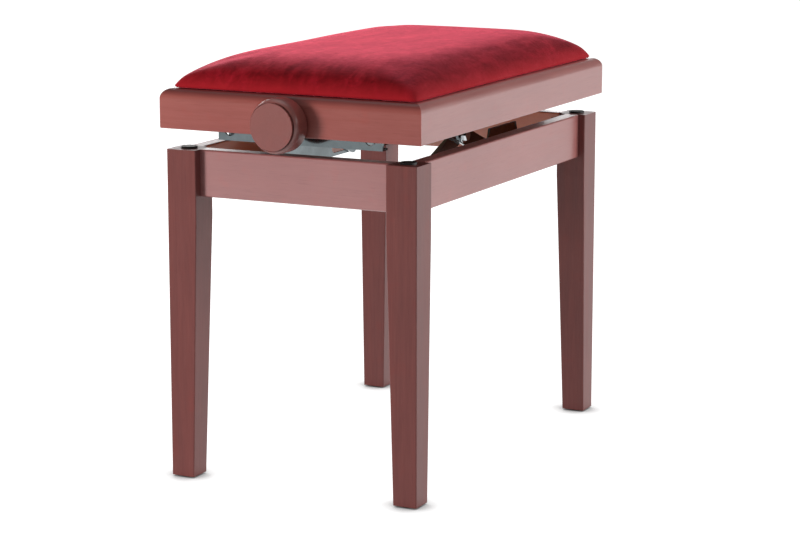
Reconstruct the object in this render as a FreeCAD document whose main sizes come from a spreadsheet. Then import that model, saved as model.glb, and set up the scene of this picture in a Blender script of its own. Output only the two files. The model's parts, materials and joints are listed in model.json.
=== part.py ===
import FreeCAD, Part
import math
import os
import Sketcher
from FreeCAD import Placement, Rotation, Vector

# Height-adjustable piano bench: a leg frame, a seat frame with a velvet cushion, and a steel
# scissor lift between them, worked by a threaded spindle with a turned knob at each end.
# Frame: origin on the floor under the middle, +X along the bench, -Y is the front, +Z up.
# Millimetres. The seat stands 25 above the leg frame, inside its travel of 94.5.

DIMENSIONS = {
    # leg frame
    "base_length": 550, "base_depth": 336, "base_top": 409,
    "leg_width": 40, "leg_foot_width": 31, "leg_taper_start": 326, "leg_edge_radius": 1.5,
    "apron_height": 57.5, "apron_thickness": 20, "apron_edge_radius": 2,
    "apron_inset_end": 12, "apron_inset_side": 9,
    "glide_diameter": 24, "glide_height": 2, "glide_edge_radius": 0.6,
    "bumper_diameter": 20, "bumper_height": 2.5, "bumper_edge_radius": 0.8,
    "corner_cut": 10, "corner_cut_end": 344, "corner_cutter_radius": 30,
    "bracket_offset": 6.5, "bracket_height": 44, "bracket_thickness": 3,
    "hanger_bolt_diameter": 8, "hanger_bolt_height": 382,
    "hanger_bolt_length": 44, "hanger_bolt_depth": 24, "bracket_bore_lead": 5,
    "hanger_nut_width": 13, "hanger_nut_height": 6.5,
    # seat
    "seat_length": 555, "seat_depth": 350, "seat_bottom": 434, "seat_rail_height": 48,
    "seat_rail_thickness": 22, "seat_rail_radius": 12, "seat_rail_lower_radius": 1.5,
    "spindle_passage_diameter": 20,
    "board_thickness": 12, "board_clearance": 0.3,
    "corner_block_leg": 40, "corner_block_height": 22,
    "cushion_inset": 13.5, "cushion_height": 42, "cushion_corner_radius": 20,
    "cushion_top_radius": 14,
    # lift mechanism, which sits a little nearer the rear
    "lift_offset": 4, "scissor_offset": 10,
    "arm_reach": 231, "arm_width": 22, "arm_thickness": 4, "arm_gap": 0.5,
    "lower_pivot_height": 370, "upper_pivot_height": 449,
    "pivot_pin_diameter": 8, "pivot_clearance": 0.2, "pivot_head_diameter": 14,
    "pivot_head_height": 3, "pivot_tip_recess": 0.2,
    "centre_bolt_diameter": 8, "centre_bolt_play": 4.6, "centre_head_width": 13,
    "centre_head_height": 5, "centre_washer_diameter": 20, "centre_washer_thickness": 1.5,
    "bar_diameter": 8, "bar_overhang": 1.5, "bar_washer_diameter": 16, "bar_washer_thickness": 1.5,
    "lower_web_outer": 110.5, "web_thickness": 2.5,
    "lower_rail_bottom": 360, "lower_rail_height": 26,
    "upstand_height": 48, "upstand_start": 57, "upstand_end": 156, "upstand_slant": 8,
    "lower_slot_start": 52, "lower_slot_end": 111, "lower_slot_height": 370.5,
    "lower_slot_width": 12.4,
    "rail_bracket_leg": 25, "tie_tube_diameter": 12,
    "end_plate_face": 241, "end_plate_thickness": 3, "end_plate_width": 222,
    "end_plate_bottom": 419, "end_plate_flange": 10, "end_plate_top_flange": 20,
    "end_plate_tab_width": 140, "end_plate_hole_diameter": 16, "end_plate_hole_offset": 95,
    "end_plate_hole_height": 13.5, "upper_rail_flange": 20,
    "upper_slot_start": 56, "upper_slot_end": 115, "upper_slot_width": 9,
    "arm_slot_inward": 3, "arm_slot_outward": 5.8, "arm_slot_width": 10.2,
    # spindle, nut and knobs
    "spindle_diameter": 12, "spindle_clearance": 0.2, "spindle_thread_clearance": 0.6,
    "bush_diameter": 18, "bush_flange_diameter": 24, "bush_flange_thickness": 2,
    "collar_diameter": 22, "collar_length": 8, "collar_gap": 0.4,
    "nut_length": 24, "nut_width": 32, "nut_height": 28,
    "knob_diameter": 65.5, "knob_length": 30, "knob_gap": 2, "knob_socket_depth": 22,
    "knob_shoulder_radius": 11, "knob_face_diameter": 58.5, "knob_groove_width": 1.3,
    "knob_groove_depth": 1.5, "knob_back_bevel": 2,
    # screws
    "screw_diameter": 4, "screw_length": 12, "screw_head_diameter": 8, "screw_head_height": 2,
    "board_screw_inner": 30, "board_screw_outer": 192,
}

doc = FreeCAD.newDocument("piano_bench")
sheet = doc.addObject("Spreadsheet::Sheet", "Dimensions")
for row, (alias, number) in enumerate(DIMENSIONS.items(), 1):
    sheet.set(f"A{row}", alias)
    sheet.set(f"B{row}", str(number))
    sheet.setAlias(f"B{row}", alias)
doc.recompute()


class Size:
    """A length with its number and the sheet expression that drives it."""

    def __init__(self, value, text=None):
        self.value = float(value)
        self.text = text or repr(float(value))

    def __add__(self, other):
        other = size(other)
        return Size(self.value + other.value, f"({self.text} + {other.text})")

    def __sub__(self, other):
        other = size(other)
        return Size(self.value - other.value, f"({self.text} - {other.text})")

    def __mul__(self, factor):
        return Size(self.value * factor, f"({self.text} * {factor})")

    def __truediv__(self, divisor):
        return Size(self.value / divisor, f"({self.text} / {divisor})")

    def __neg__(self):
        return Size(-self.value, f"(0 - {self.text})")


def size(value):
    """Return a Size from a Size, a number or the alias of a sheet cell."""
    if isinstance(value, Size):
        return value
    if isinstance(value, str):
        return Size(DIMENSIONS[value], f"Dimensions.{value}")
    return Size(value)


def bind(feature, **sizes):
    """Drive properties of a feature from the sheet."""
    for name, value in sizes.items():
        feature.setExpression(name, size(value).text)


def place(piece, x=0, y=0, z=0, turn=0, axis=(0, 0, 1)):
    """Place a piece with its base point driven from the sheet, turned about one axis."""
    base = [size(x), size(y), size(z)]
    rotation = Rotation(Vector(*axis), turn)
    piece.Placement = Placement(Vector(*[part.value for part in base]), rotation)
    for letter, part in zip("xyz", base):
        piece.setExpression(f"Placement.Base.{letter}", part.text)
    return piece


# ---- sketches and features -------------------------------------------------------------

def new_body(label):
    body = doc.addObject("PartDesign::Body", label)
    body.Label = label
    return body


def new_sketch(body, role, lift=0):
    """A sketch on one of the body's own origin planes, raised by lift along its normal."""
    sketch = body.newObject("Sketcher::SketchObject", "Sketch")
    plane = [item for item in body.Origin.OriginFeatures if item.Role == role][0]
    sketch.AttachmentSupport = [(plane, "")]
    sketch.MapMode = "FlatFace"
    lift = size(lift)
    sketch.AttachmentOffset = Placement(Vector(0, 0, lift.value), Rotation())
    sketch.setExpression("AttachmentOffset.Base.z", lift.text)
    return sketch


def pin_point(sketch, geometry, point, x=None, y=None):
    """Hold a sketch point at its distances from the sketch's origin."""
    for kind, distance in (("DistanceX", x), ("DistanceY", y)):
        if distance is None:
            continue
        distance = size(distance)
        constraint = Sketcher.Constraint(kind, -1, 1, geometry, point, distance.value)
        index = sketch.addConstraint(constraint)
        sketch.setExpression(f"Constraints[{index}]", distance.text)


def hold_radius(sketch, geometry, radius):
    index = sketch.addConstraint(Sketcher.Constraint("Radius", geometry, radius.value))
    sketch.setExpression(f"Constraints[{index}]", radius.text)


def add_polygon(sketch, points):
    points = [(size(x), size(y)) for x, y in points]
    first = len(sketch.Geometry)
    count = len(points)
    for index, (x, y) in enumerate(points):
        end_x, end_y = points[(index + 1) % count]
        line = Part.LineSegment(Vector(x.value, y.value, 0), Vector(end_x.value, end_y.value, 0))
        sketch.addGeometry(line, False)
    for index, (x, y) in enumerate(points):
        following = first + (index + 1) % count
        sketch.addConstraint(Sketcher.Constraint("Coincident", first + index, 2, following, 1))
        pin_point(sketch, first + index, 1, x, y)


def add_circle(sketch, x, y, diameter):
    x, y, radius = size(x), size(y), size(diameter) / 2
    circle = Part.Circle(Vector(x.value, y.value, 0), Vector(0, 0, 1), radius.value)
    geometry = sketch.addGeometry(circle, False)
    pin_point(sketch, geometry, 3, x, y)
    hold_radius(sketch, geometry, radius)


def add_rounded_loop(sketch, centres, radius):
    """A closed loop round a row of arc centres, all of one radius, given anticlockwise."""
    centres = [(size(x), size(y)) for x, y in centres]
    radius = size(radius)
    count = len(centres)
    headings = []
    for index, (x, y) in enumerate(centres):
        next_x, next_y = centres[(index + 1) % count]
        headings.append(math.atan2(next_y.value - y.value, next_x.value - x.value))
    arcs = []
    for index, (x, y) in enumerate(centres):
        start = headings[index - 1] - math.pi / 2
        end = headings[index] - math.pi / 2
        if end <= start:
            end += 2 * math.pi
        circle = Part.Circle(Vector(x.value, y.value, 0), Vector(0, 0, 1), radius.value)
        arc = sketch.addGeometry(Part.ArcOfCircle(circle, start, end), False)
        pin_point(sketch, arc, 3, x, y)
        hold_radius(sketch, arc, radius)
        arcs.append((arc, x, y))
    for index, (arc, x, y) in enumerate(arcs):
        next_arc, next_x, next_y = arcs[(index + 1) % count]
        side = headings[index] - math.pi / 2
        shift = Vector(math.cos(side), math.sin(side), 0) * radius.value
        line = Part.LineSegment(Vector(x.value, y.value, 0) + shift,
                                Vector(next_x.value, next_y.value, 0) + shift)
        line = sketch.addGeometry(line, False)
        sketch.addConstraint(Sketcher.Constraint("Tangent", arc, 2, line, 1))
        sketch.addConstraint(Sketcher.Constraint("Tangent", line, 2, next_arc, 1))


def add_rounded_rectangle(sketch, width, depth, radius):
    """A rounded rectangle with its corner at the sketch's origin."""
    width, depth, radius = size(width), size(depth), size(radius)
    far_x, far_y = width - radius, depth - radius
    corners = [(radius, radius), (far_x, radius), (far_x, far_y), (radius, far_y)]
    add_rounded_loop(sketch, corners, radius)


def add_slot(sketch, start, end, height, width):
    """A round-ended slot along the sketch's X."""
    add_rounded_loop(sketch, [(start, height), (end, height)], size(width) / 2)


def pad(body, sketch, length, reverse=False):
    feature = body.newObject("PartDesign::Pad", "Pad")
    feature.Profile = sketch
    bind(feature, Length=length)
    feature.Reversed = reverse
    doc.recompute()
    return feature


def cut_through(body, sketch):
    """Cut a sketch through the whole body, and see that it removed something."""
    before = body.Shape.Volume
    feature = body.newObject("PartDesign::Pocket", "Pocket")
    feature.Profile = sketch
    feature.Type = "ThroughAll"
    feature.Midplane = True
    doc.recompute()
    if body.Shape.Volume >= before:
        raise ValueError(f"{body.Label}: the pocket cut nothing")
    return feature


def fillet(body, radius, wanted):
    """Round the edges of the body's tip for which wanted(edge) is true."""
    tip = body.Tip
    names = [f"Edge{number}" for number, edge in enumerate(tip.Shape.Edges, 1) if wanted(edge)]
    feature = body.newObject("PartDesign::Fillet", "Fillet")
    feature.Base = (tip, names)
    bind(feature, Radius=radius)
    doc.recompute()
    return feature


def lies_at(edge, height):
    return edge.BoundBox.ZLength < 0.01 and abs(edge.CenterOfMass.z - height) < 0.01


def runs_along(edge, direction):
    if edge.Curve.TypeId != "Part::GeomLine":
        return False
    return abs(edge.Curve.Direction.dot(Vector(*direction))) > 0.999


def outer_edge_at(edge, height):
    """Whether an edge runs along a rail's outer face at a height."""
    middle = edge.CenterOfMass
    return runs_along(edge, (1, 0, 0)) and middle.y < 0.1 and abs(middle.z - height) < 0.1


# ---- Part primitives -------------------------------------------------------------------

def cylinder(label, diameter, length, x=0, y=0, z=0, along="Z"):
    """A cylinder from a base point along +X, +Y or +Z."""
    piece = doc.addObject("Part::Cylinder", label)
    bind(piece, Radius=size(diameter) / 2, Height=length)
    turns = {"X": (90, (0, 1, 0)), "Y": (-90, (1, 0, 0)), "Z": (0, (0, 0, 1))}
    turn, axis = turns[along]
    return place(piece, x, y, z, turn, axis)


def hexagon(label, across_flats, height, x=0, y=0, z=0, along="Z"):
    piece = doc.addObject("Part::Prism", label)
    piece.Polygon = 6
    bind(piece, Circumradius=size(across_flats) / math.sqrt(3), Height=height)
    turns = {"X": (90, (0, 1, 0)), "Y": (-90, (1, 0, 0)), "Z": (0, (0, 0, 1))}
    turn, axis = turns[along]
    return place(piece, x, y, z, turn, axis)


def fuse(label, *pieces):
    fused = doc.addObject("Part::MultiFuse", label)
    fused.Label = label
    fused.Shapes = list(pieces)
    return fused


def group(label, pieces):
    """Separate solids that share one node."""
    compound = doc.addObject("Part::Compound", label)
    compound.Label = label
    compound.Links = list(pieces)
    return compound


def cut(label, base, tool):
    result = doc.addObject("Part::Cut", label)
    result.Label = label
    result.Base = base
    result.Tool = tool
    return result


nodes = []


def keep(piece, label=None):
    """Enter a finished piece as a node."""
    if label:
        piece.Label = label
    nodes.append(piece)
    return piece


half_length = size("base_length") / 2
half_depth = size("base_depth") / 2
# a corner's name, its turn about Z and the signs of its X and Y
CORNERS = [("front_left", 0, -1, -1), ("front_right", 90, 1, -1),
           ("rear_right", 180, 1, 1), ("rear_left", 270, -1, 1)]
SIDES = [("front", -1), ("rear", 1)]
ENDS = [("left", -1), ("right", 1)]


def signed(value, sign):
    return size(value) if sign > 0 else -size(value)


def outward(distance, length, sign):
    """Lower end of a stretch that starts at a distance from the middle and runs outward."""
    return size(distance) if sign > 0 else -(size(distance) + length)


def across(distance, length, sign):
    """The same for a stretch across the bench that belongs to the lift."""
    return outward(distance, length, sign) + "lift_offset"


# ---- leg frame -------------------------------------------------------------------------

def leg(name, turn, sign_x, sign_y):
    """A square leg, straight beside the aprons, whose two inner faces taper to the foot.

    Its inner edge is cut back for the corner bracket, with the round run-out of a cutter.
    """
    body = new_body(f"leg_blank_{name}")
    foot = new_sketch(body, "XY_Plane", "glide_height")
    add_rounded_rectangle(foot, "leg_foot_width", "leg_foot_width", "leg_edge_radius")
    knee = new_sketch(body, "XY_Plane", "leg_taper_start")
    add_rounded_rectangle(knee, "leg_width", "leg_width", "leg_edge_radius")
    doc.recompute()
    taper = body.newObject("PartDesign::AdditiveLoft", "Taper")
    taper.Profile = foot
    taper.Sections = [knee]
    taper.Ruled = True
    head = new_sketch(body, "XY_Plane", "leg_taper_start")
    add_rounded_rectangle(head, "leg_width", "leg_width", "leg_edge_radius")
    pad(body, head, size("base_top") - "leg_taper_start")

    # local frame: the outer corner at the origin, the inner edge at (width, width)
    cutter_radius = size("corner_cutter_radius")
    depth = size("corner_cut") / math.sqrt(2)
    run_out = math.sqrt(cutter_radius.value ** 2 - (cutter_radius.value - depth.value) ** 2)
    cut_start = size("corner_cut_end") + run_out
    cut_width = size("leg_width") * 2
    face = size("leg_width") * math.sqrt(2) - depth
    block = doc.addObject("Part::Box", f"corner_block_{name}")
    bind(block, Length=cutter_radius, Width=cut_width, Height=size("base_top") - cut_start + 1)
    shift = face / math.sqrt(2)
    side = cut_width / 2 / math.sqrt(2)
    place(block, shift + side, shift - side, cut_start, 45)
    reach = (face + cutter_radius) / math.sqrt(2)
    cutter = doc.addObject("Part::Cylinder", f"corner_cutter_{name}")
    bind(cutter, Radius=cutter_radius, Height=cut_width)
    place(cutter, reach + side, reach - side, cut_start, 90, (1, 1, 0))
    bore_start = (face - "hanger_bolt_depth") / math.sqrt(2)
    bore = doc.addObject("Part::Cylinder", f"bolt_bore_{name}")
    bind(bore, Radius=size("hanger_bolt_diameter") / 2, Height="hanger_bolt_length")
    place(bore, bore_start, bore_start, "hanger_bolt_height", 90, (-1, 1, 0))
    piece = cut(f"leg_{name}", body, fuse(f"corner_cut_{name}", block, cutter, bore))
    keep(place(piece, signed(half_length, sign_x), signed(half_depth, sign_y), 0, turn))


def apron(name, turn, x, y, length):
    """A board between two legs, with eased edges."""
    body = new_body(f"apron_{name}")
    section = new_sketch(body, "YZ_Plane")
    add_rounded_rectangle(section, "apron_thickness", "apron_height", "apron_edge_radius")
    pad(body, section, length)
    keep(place(body, x, y, size("base_top") - "apron_height", turn))


def aprons():
    end_x = half_length - "apron_inset_end"
    side_y = half_depth - "apron_inset_side"
    end_run = half_depth - "leg_width"
    side_run = half_length - "leg_width"
    apron("front", 0, -side_run, -side_y, side_run * 2)
    apron("right", 90, end_x, -end_run, end_run * 2)
    apron("rear", 180, side_run, side_y, side_run * 2)
    apron("left", 270, -end_x, end_run, end_run * 2)


def leg_discs(label, diameter, height, edge_radius, on_top, centre):
    """One small disc on each leg, on its top or under its foot, with its free rim rounded."""
    rim_height = size(height).value if on_top else 0
    discs = []
    for name, turn, sign_x, sign_y in CORNERS:
        body = new_body(f"{label}_{name}")
        outline = new_sketch(body, "XY_Plane")
        add_circle(outline, 0, 0, diameter)
        pad(body, outline, height)
        fillet(body, edge_radius, lambda edge: lies_at(edge, rim_height))
        discs.append(place(body, signed(half_length - centre, sign_x),
                           signed(half_depth - centre, sign_y), "base_top" if on_top else 0))
    keep(group(label, discs))


def corner_brackets():
    """A diagonal steel plate across each corner and a hanger bolt with its nut through it."""
    plates, bolts = [], []
    cut_face = size("leg_width") * math.sqrt(2) - size("corner_cut") / math.sqrt(2)
    plate_face = cut_face + "bracket_offset"
    end_reach = plate_face * math.sqrt(2) - size("apron_inset_end") - "apron_thickness"
    side_reach = plate_face * math.sqrt(2) - size("apron_inset_side") - "apron_thickness"
    slope = size("bracket_thickness") * math.sqrt(2)
    in_end = size("apron_inset_end") + "apron_thickness"
    in_side = size("apron_inset_side") + "apron_thickness"
    for name, turn, sign_x, sign_y in CORNERS:
        # a leg turned by 90 or 270 degrees has its local X along the bench's Y
        swapped = sign_x * sign_y < 0
        near_x, near_y = (in_side, in_end) if swapped else (in_end, in_side)
        far_y, far_x = (side_reach, end_reach) if swapped else (end_reach, side_reach)
        body = new_body(f"corner_plate_{name}")
        outline = new_sketch(body, "XY_Plane")
        add_polygon(outline, [(near_x, far_y), (far_x, near_y),
                              (far_x + slope, near_y), (near_x, far_y + slope)])
        pad(body, outline, "bracket_height")
        bore_at = (cut_face - "bracket_bore_lead") / math.sqrt(2)
        bore = doc.addObject("Part::Cylinder", f"bracket_bore_{name}")
        height = size("hanger_bolt_height") - "base_top" + "apron_height"
        bind(bore, Radius=size("hanger_bolt_diameter") / 2, Height="hanger_bolt_length")
        bracket_lift = (size("apron_height") - "bracket_height") / 2
        place(bore, bore_at, bore_at, height - bracket_lift, 90, (-1, 1, 0))
        plate = cut(f"corner_bracket_{name}", body, bore)
        plates.append(place(plate, signed(half_length, sign_x), signed(half_depth, sign_y),
                            size("base_top") - "apron_height" + bracket_lift, turn))
        start = (cut_face - "hanger_bolt_depth") / math.sqrt(2)
        shank = doc.addObject("Part::Cylinder", f"hanger_shank_{name}")
        bind(shank, Radius=size("hanger_bolt_diameter") / 2, Height="hanger_bolt_length")
        place(shank, start, start, "hanger_bolt_height", 90, (-1, 1, 0))
        nut_at = (plate_face + "bracket_thickness") / math.sqrt(2)
        nut = doc.addObject("Part::Prism", f"hanger_nut_{name}")
        nut.Polygon = 6
        bind(nut, Circumradius=size("hanger_nut_width") / math.sqrt(3), Height="hanger_nut_height")
        place(nut, nut_at, nut_at, "hanger_bolt_height", 90, (-1, 1, 0))
        bolt = fuse(f"hanger_bolt_{name}", shank, nut)
        bolts.append(place(bolt, signed(half_length, sign_x), signed(half_depth, sign_y), 0, turn))
    keep(group("corner_brackets", plates))
    keep(group("hanger_bolts", bolts))


# ---- seat ------------------------------------------------------------------------------

half_seat_length = size("seat_length") / 2
half_seat_depth = size("seat_depth") / 2
seat_top = size("seat_bottom") + "seat_rail_height"
board_bottom = seat_top - "board_thickness"
spindle_height = size("upper_pivot_height")


def seat_rail(name, turn, x, y, length, passage_at=None):
    """A mitred rail with a rounded upper outer edge; passage_at places the spindle's hole."""
    thickness = size("seat_rail_thickness")
    body = new_body(f"seat_rail_{name}")
    section = new_sketch(body, "YZ_Plane")
    height = size("seat_rail_height")
    add_polygon(section, [(0, 0), (thickness, 0), (thickness, height), (0, height)])
    pad(body, section, length)
    fillet(body, "seat_rail_radius", lambda edge: outer_edge_at(edge, height.value))
    fillet(body, "seat_rail_lower_radius", lambda edge: outer_edge_at(edge, 0))
    mitres = new_sketch(body, "XY_Plane")
    add_polygon(mitres, [(0, 0), (thickness, thickness), (0, thickness)])
    add_polygon(mitres, [(length, 0), (length, thickness), (length - thickness, thickness)])
    cut_through(body, mitres)
    if passage_at:
        passage = new_sketch(body, "XZ_Plane")
        add_circle(passage, passage_at, spindle_height - "seat_bottom",
                   "spindle_passage_diameter")
        cut_through(body, passage)
    keep(place(body, x, y, "seat_bottom", turn))


def seat_rails():
    length, depth = size("seat_length"), size("seat_depth")
    seat_rail("front", 0, -half_seat_length, -half_seat_depth, length)
    seat_rail("right", 90, half_seat_length, -half_seat_depth, depth,
              half_seat_depth + "lift_offset")
    seat_rail("rear", 180, half_seat_length, half_seat_depth, length)
    seat_rail("left", 270, -half_seat_length, half_seat_depth, depth,
              half_seat_depth - "lift_offset")


def seat_board():
    inset = size("seat_rail_thickness") + "board_clearance"
    length = size("seat_length") - inset * 2
    depth = size("seat_depth") - inset * 2
    board = doc.addObject("Part::Box", "seat_board")
    bind(board, Length=length, Width=depth, Height="board_thickness")
    keep(place(board, -length / 2, -depth / 2, board_bottom))


def seat_corner_blocks():
    """Triangular blocks that stiffen the mitres and carry the board."""
    blocks = []
    inset = size("seat_rail_thickness")
    for name, turn, sign_x, sign_y in CORNERS:
        body = new_body(f"seat_corner_block_{name}")
        outline = new_sketch(body, "XY_Plane")
        far = inset + "corner_block_leg"
        add_polygon(outline, [(inset, inset), (far, inset), (inset, far)])
        pad(body, outline, "corner_block_height")
        blocks.append(place(body, signed(half_seat_length, sign_x),
                            signed(half_seat_depth, sign_y),
                            board_bottom - "corner_block_height", turn))
    keep(group("seat_corner_blocks", blocks))


def seat_cushion():
    length = size("seat_length") - size("cushion_inset") * 2
    depth = size("seat_depth") - size("cushion_inset") * 2
    body = new_body("seat_cushion")
    outline = new_sketch(body, "XY_Plane")
    add_rounded_rectangle(outline, length, depth, "cushion_corner_radius")
    pad(body, outline, "cushion_height")
    top = size("cushion_height").value
    fillet(body, "cushion_top_radius", lambda edge: lies_at(edge, top))
    keep(place(body, -length / 2, -depth / 2, seat_top))


# ---- lift mechanism --------------------------------------------------------------------
# Layers from the outside in, on each long side: lower rail, falling arm, rising arm, upper rail.
# The rising arms turn on the lower rails at the left, the falling arms on the upper rails there.

rise = size("upper_pivot_height") - "lower_pivot_height"
arm_angle = math.degrees(math.asin(rise.value / size("arm_reach").value))
reach_across = size("arm_reach") * math.cos(math.radians(arm_angle))
pivot_x = -reach_across / 2 - "scissor_offset"
slide_x = reach_across / 2 - "scissor_offset"
middle_x = -size("scissor_offset")
lower_web_inner = size("lower_web_outer") - "web_thickness"
falling_arm_outer = lower_web_inner - "arm_gap"
falling_arm_inner = falling_arm_outer - "arm_thickness"
rising_arm_outer = falling_arm_inner - "arm_gap"
rising_arm_inner = rising_arm_outer - "arm_thickness"
upper_web_outer = rising_arm_inner - "arm_gap"
upper_web_inner = upper_web_outer - "web_thickness"


def flat_piece(label, thickness, outer_face, sign, add_outline, holes):
    """A plate that stands along the bench, its outline and holes sketched in local X and Z.

    The plate's local Y runs from 0 to its thickness. The result's Y place is returned too.
    """
    body = new_body(label)
    outline = new_sketch(body, "XZ_Plane")
    add_outline(outline)
    pad(body, outline, thickness, reverse=True)
    if holes:
        openings = new_sketch(body, "XZ_Plane")
        for add_hole in holes:
            add_hole(openings)
        cut_through(body, openings)
    return body, across(size(outer_face) - thickness, size(thickness), sign)


def scissor_arm(label, outer_face, sign, height, falls, centre_hole, end_hole):
    """A flat bar with round ends, from its left pivot; falls tells a falling arm."""
    half_width = size("arm_width") / 2
    reach = size("arm_reach")
    pivot_hole = size("pivot_pin_diameter") + "pivot_clearance"
    # local X starts one half width before the pivot and Z one half width below it
    holes = [lambda sketch: add_circle(sketch, half_width, half_width, pivot_hole),
             lambda sketch: add_circle(sketch, half_width + reach / 2, half_width, centre_hole),
             lambda sketch: end_hole(sketch, half_width + reach, half_width)]
    body, y = flat_piece(
        label, "arm_thickness", outer_face, sign,
        lambda sketch: add_slot(sketch, half_width, half_width + reach, half_width, "arm_width"),
        holes)
    turn = arm_angle if falls else -arm_angle
    corner = Rotation(Vector(0, 1, 0), turn).multVec(Vector(half_width.value, 0, half_width.value))
    keep(place(body, pivot_x - corner.x, y, size(height) - corner.z, turn, (0, 1, 0)))


def scissor_arms():
    def slotted_end(sketch, x, z):
        add_slot(sketch, x - "arm_slot_inward", x + "arm_slot_outward", z, "arm_slot_width")

    def round_end(sketch, x, z):
        add_circle(sketch, x, z, "bar_diameter")

    for name, sign in SIDES:
        scissor_arm(f"falling_arm_{name}", falling_arm_outer, sign, "upper_pivot_height", True,
                    size("centre_bolt_diameter") + "centre_bolt_play", round_end)
        scissor_arm(f"rising_arm_{name}", rising_arm_outer, sign, "lower_pivot_height", False,
                    "centre_bolt_diameter", slotted_end)
    keep(cylinder("rising_arm_tie", "tie_tube_diameter", rising_arm_inner * 2, pivot_x,
                  across(0, rising_arm_inner, -1), "lower_pivot_height", "Y"))


def lower_rails():
    """Flat bars along the leg frame that carry the rising arms' pivots and the slide pins.

    A stretch beside the slide pins' slot stands up higher and ends on a slant.
    """
    run = half_length - "apron_inset_end" - "apron_thickness" - "web_thickness"
    pivot_drop = size("lower_pivot_height") - "lower_rail_bottom"
    slot_drop = size("lower_slot_height") - "lower_rail_bottom"
    start, end = run + "upstand_start", run + "upstand_end"
    outline = [(0, 0), (run * 2, 0), (run * 2, "lower_rail_height"), (end, "lower_rail_height"),
               (end - "upstand_slant", "upstand_height"),
               (start + "upstand_slant", "upstand_height"), (start, "lower_rail_height"),
               (0, "lower_rail_height")]
    for name, sign in SIDES:
        holes = [
            lambda sketch: add_circle(sketch, run + pivot_x, pivot_drop, "pivot_pin_diameter"),
            lambda sketch: add_slot(sketch, run + "lower_slot_start", run + "lower_slot_end",
                                    slot_drop, "lower_slot_width")]
        body, y = flat_piece(f"lower_rail_{name}", "web_thickness", "lower_web_outer", sign,
                             lambda sketch: add_polygon(sketch, outline), holes)
        keep(place(body, -run, y, "lower_rail_bottom"))


def rail_brackets():
    """Flat plates that carry the lower rails' ends on the end aprons, with their screws."""
    plates, screws = [], []
    wall = half_length - "apron_inset_end" - "apron_thickness"
    for end, sign_x in ENDS:
        for side, sign_y in SIDES:
            plate = doc.addObject("Part::Box", f"rail_bracket_{end}_{side}")
            bind(plate, Length="web_thickness", Width="rail_bracket_leg",
                 Height="lower_rail_height")
            x = outward(wall - "web_thickness", size("web_thickness"), sign_x)
            y = across(size("lower_web_outer") - "rail_bracket_leg", size("rail_bracket_leg"),
                       sign_y)
            plates.append(place(plate, x, y, "lower_rail_bottom"))
            middle = size("lower_web_outer") - size("rail_bracket_leg") / 2
            height = size("lower_rail_bottom") + size("lower_rail_height") / 2
            screws.append(screw(f"rail_screw_{end}_{side}", wall - "web_thickness", sign_x,
                                across(middle, 0, sign_y), height))
    keep(group("rail_brackets", plates))
    keep(group("rail_screws", screws))


def screw(label, seat, sign, y, z):
    """A wood screw along X whose head lies inside the seat and whose shank runs outward."""
    head_x = outward(size(seat) - "screw_head_height", size("screw_head_height"), sign)
    head = cylinder(f"{label}_head", "screw_head_diameter", "screw_head_height", head_x, y, z, "X")
    shank_x = outward(seat, size("screw_length"), sign)
    shank = cylinder(f"{label}_shank", "screw_diameter", "screw_length", shank_x, y, z, "X")
    return fuse(label, head, shank)


def upper_rails():
    """Angle sections under the board that carry the falling arms' pivots and the drive bars."""
    run = size("end_plate_face") - "end_plate_thickness"
    bottom = size("end_plate_bottom") + "web_thickness"
    height = board_bottom - bottom
    web, flange = size("web_thickness"), size("upper_rail_flange")
    pivot_z = size("upper_pivot_height") - bottom
    for name, sign in SIDES:
        body = new_body(f"upper_rail_{name}")
        section = new_sketch(body, "YZ_Plane")
        # the front rail's flange points to +Y and the rear rail's to -Y, so the web changes side
        if sign < 0:
            outline = [(0, 0), (web, 0), (web, height - web), (web + flange, height - web),
                       (web + flange, height), (0, height)]
        else:
            outline = [(flange, 0), (web + flange, 0), (web + flange, height), (0, height),
                       (0, height - web), (flange, height - web)]
        add_polygon(section, outline)
        pad(body, section, run * 2)
        openings = new_sketch(body, "XZ_Plane")
        add_circle(openings, run + pivot_x, pivot_z, "pivot_pin_diameter")
        add_slot(openings, run + "upper_slot_start", run + "upper_slot_end", pivot_z,
                 "upper_slot_width")
        cut_through(body, openings)
        y = across(upper_web_inner - flange, web + flange, sign)
        keep(place(body, -run, y, bottom))


def end_plates():
    """Upright plates under the board's ends, with a lower lip, that carry the spindle."""
    width, thickness = size("end_plate_width"), size("end_plate_thickness")
    height = board_bottom - "end_plate_bottom"
    web = size("web_thickness")
    for name, turn, sign in (("left", 0, -1), ("right", 180, 1)):
        body = new_body(f"end_plate_{name}")
        section = new_sketch(body, "XZ_Plane")
        lip = thickness + "end_plate_flange"
        add_polygon(section, [(0, 0), (lip, 0), (lip, web), (thickness, web),
                              (thickness, height), (0, height)])
        pad(body, section, width, reverse=True)
        tab = new_sketch(body, "XZ_Plane", -(width - "end_plate_tab_width") / 2)
        tab_reach = thickness + "end_plate_top_flange"
        add_polygon(tab, [(0, height - web), (tab_reach, height - web), (tab_reach, height),
                          (0, height)])
        pad(body, tab, "end_plate_tab_width", reverse=True)
        openings = new_sketch(body, "YZ_Plane")
        add_circle(openings, width / 2, spindle_height - "end_plate_bottom", "bush_diameter")
        for offset_sign in (-1, 1):
            add_circle(openings, width / 2 + signed("end_plate_hole_offset", offset_sign),
                       "end_plate_hole_height", "end_plate_hole_diameter")
        cut_through(body, openings)
        keep(place(body, signed("end_plate_face", sign), across(width / 2, 0, sign),
                   "end_plate_bottom", turn))


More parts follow.
